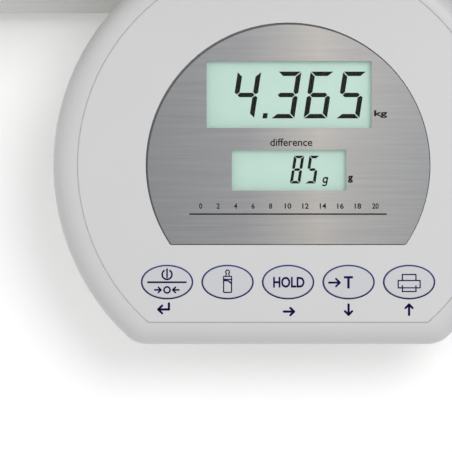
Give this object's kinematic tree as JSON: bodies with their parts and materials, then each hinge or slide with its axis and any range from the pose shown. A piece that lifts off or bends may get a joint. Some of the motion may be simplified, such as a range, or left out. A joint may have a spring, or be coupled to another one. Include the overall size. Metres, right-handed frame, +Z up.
{
  "type": "digital baby weighing scale",
  "caption": "Baby weighing scale: a moulded cradle tray on a low base with levelling feet, and a tilted round console with displays and oval membrane keys in front.",
  "frame": {"origin": "on the floor, under the middle of the scale's overall box", "axes": "+X to the user's right along the tray, +Y from the console to the rear of the base, +Z up"},
  "size_m": [0.56, 0.4266, 0.1233],
  "materials": {
    "shell_white": "fine texture",
    "casing_grey": "satin",
    "tray_white": "smooth",
    "overlay_film": "printed satin film",
    "key_film": "embossed satin film",
    "brushed_plate": "brushed from side to side",
    "clear_sheet": "clear",
    "circuit_film": "clear amber film",
    "display_glass": "reflective grey-green",
    "board": "green solder mask",
    "steel": "zinc plated",
    "aluminium": "machined",
    "rubber": "matte",
    "black_plastic": "fine texture",
    "frame_white": "moulded",
    "cell_jacket": "shrink sleeve",
    "level_liquid": "clear",
    "ribbon": "flat cable"
  },
  "bodies": {
    "base": {"console_casing": "casing_grey", "console_lower_shell": "shell_white", "key_overlay": "overlay_film", "keypad_circuit": "circuit_film", "fascia_plate": "brushed_plate", "display_window": "clear_sheet", "main_lcd": "display_glass", "difference_lcd": "display_glass", "display_frame": "frame_white", "display_board": "board", "display_ribbon": "ribbon", "console_screw_1": "steel", "console_screw_2": "steel", "console_screw_3": "steel", "console_screw_4": "steel", "base_bottom_shell": "shell_white", "base_top_cover": "shell_white", "base_screw_1": "steel", "base_screw_2": "steel", "base_screw_3": "steel", "base_screw_4": "steel", "battery_box": "black_plastic", "battery_cell_1": "cell_jacket", "battery_cell_2": "cell_jacket", "battery_cell_3": "cell_jacket", "battery_cell_4": "cell_jacket", "contact_strip_front": "steel", "contact_strip_rear": "steel", "power_socket": "black_plastic", "main_board": "board", "chassis_plate": "steel", "load_cell": "aluminium", "upper_spacer": "aluminium", "cell_bolt_lower_1": "steel", "cell_bolt_lower_2": "steel", "cell_bolt_upper_1": "steel", "cell_bolt_upper_2": "steel", "upper_frame": "steel", "tray_cap_front_left": "rubber", "tray_cap_front_right": "rubber", "tray_cap_rear_left": "rubber", "tray_cap_rear_right": "rubber", "level_housing": "frame_white", "level_vial": "level_liquid"},
    "tray": {"weighing_tray": "tray_white"},
    "power_key": {"key_power": "key_film"},
    "bottle_key": {"key_bottle": "key_film"},
    "hold_key": {"key_hold": "key_film"},
    "tare_key": {"key_tare": "key_film"},
    "print_key": {"key_print": "key_film"},
    "door": {"battery_door": "shell_white"},
    "pad_front_left": {"foot_pad_front_left": "rubber"},
    "pad_front_right": {"foot_pad_front_right": "rubber"},
    "pad_rear_left": {"foot_pad_rear_left": "rubber"},
    "pad_rear_right": {"foot_pad_rear_right": "rubber"},
    "spindle_front_left": {"foot_spindle_front_left": "steel"},
    "spindle_front_right": {"foot_spindle_front_right": "steel"},
    "spindle_rear_left": {"foot_spindle_rear_left": "steel"},
    "spindle_rear_right": {"foot_spindle_rear_right": "steel"}
  },
  "joints": [
    {"name": "tray_lift", "type": "slide", "parent": "base", "child": "tray", "axis": [0, 0, 1], "range_m": [0, 0.08]},
    {"name": "power_press", "type": "slide", "parent": "base", "child": "power_key", "axis": [0, 0.1736, -0.9848], "range_m": [0, 0.0004], "stiffness_N_per_m": 3000, "springref_m": -0.0004},
    {"name": "bottle_press", "type": "slide", "parent": "base", "child": "bottle_key", "axis": [0, 0.1736, -0.9848], "range_m": [0, 0.0004], "stiffness_N_per_m": 3000, "springref_m": -0.0004},
    {"name": "hold_press", "type": "slide", "parent": "base", "child": "hold_key", "axis": [0, 0.1736, -0.9848], "range_m": [0, 0.0004], "stiffness_N_per_m": 3000, "springref_m": -0.0004},
    {"name": "tare_press", "type": "slide", "parent": "base", "child": "tare_key", "axis": [0, 0.1736, -0.9848], "range_m": [0, 0.0004], "stiffness_N_per_m": 3000, "springref_m": -0.0004},
    {"name": "print_press", "type": "slide", "parent": "base", "child": "print_key", "axis": [0, 0.1736, -0.9848], "range_m": [0, 0.0004], "stiffness_N_per_m": 3000, "springref_m": -0.0004},
    {"name": "door_slide", "type": "slide", "parent": "base", "child": "door", "axis": [0, 1, 0], "range_m": [0, 0.075]},
    {"name": "rise_front_left", "type": "slide", "parent": "base", "child": "pad_front_left", "axis": [0, 0, -1], "range_m": [0, 0.006]},
    {"name": "rise_front_right", "type": "slide", "parent": "base", "child": "pad_front_right", "axis": [0, 0, -1], "range_m": [0, 0.006]},
    {"name": "rise_rear_left", "type": "slide", "parent": "base", "child": "pad_rear_left", "axis": [0, 0, -1], "range_m": [0, 0.006]},
    {"name": "rise_rear_right", "type": "slide", "parent": "base", "child": "pad_rear_right", "axis": [0, 0, -1], "range_m": [0, 0.006]},
    {"name": "spin_front_left", "type": "hinge", "parent": "pad_front_left", "child": "spindle_front_left", "pos_m": [-0.138, -0.04075, 0.01], "axis": [0, 0, -1], "range_deg": [0, 1728.2]},
    {"name": "spin_front_right", "type": "hinge", "parent": "pad_front_right", "child": "spindle_front_right", "pos_m": [0.138, -0.04075, 0.01], "axis": [0, 0, -1], "range_deg": [0, 1728.2]},
    {"name": "spin_rear_left", "type": "hinge", "parent": "pad_rear_left", "child": "spindle_rear_left", "pos_m": [-0.138, 0.16525, 0.01], "axis": [0, 0, -1], "range_deg": [0, 1728.2]},
    {"name": "spin_rear_right", "type": "hinge", "parent": "pad_rear_right", "child": "spindle_rear_right", "pos_m": [0.138, 0.16525, 0.01], "axis": [0, 0, -1], "range_deg": [0, 1728.2]}
  ],
  "couplings": [
    {"joint": "spin_front_left", "follows": "rise_front_left", "rad_per_m": 5026.5},
    {"joint": "spin_front_right", "follows": "rise_front_right", "rad_per_m": 5026.5},
    {"joint": "spin_rear_left", "follows": "rise_rear_left", "rad_per_m": 5026.5},
    {"joint": "spin_rear_right", "follows": "rise_rear_right", "rad_per_m": 5026.5}
  ]
}
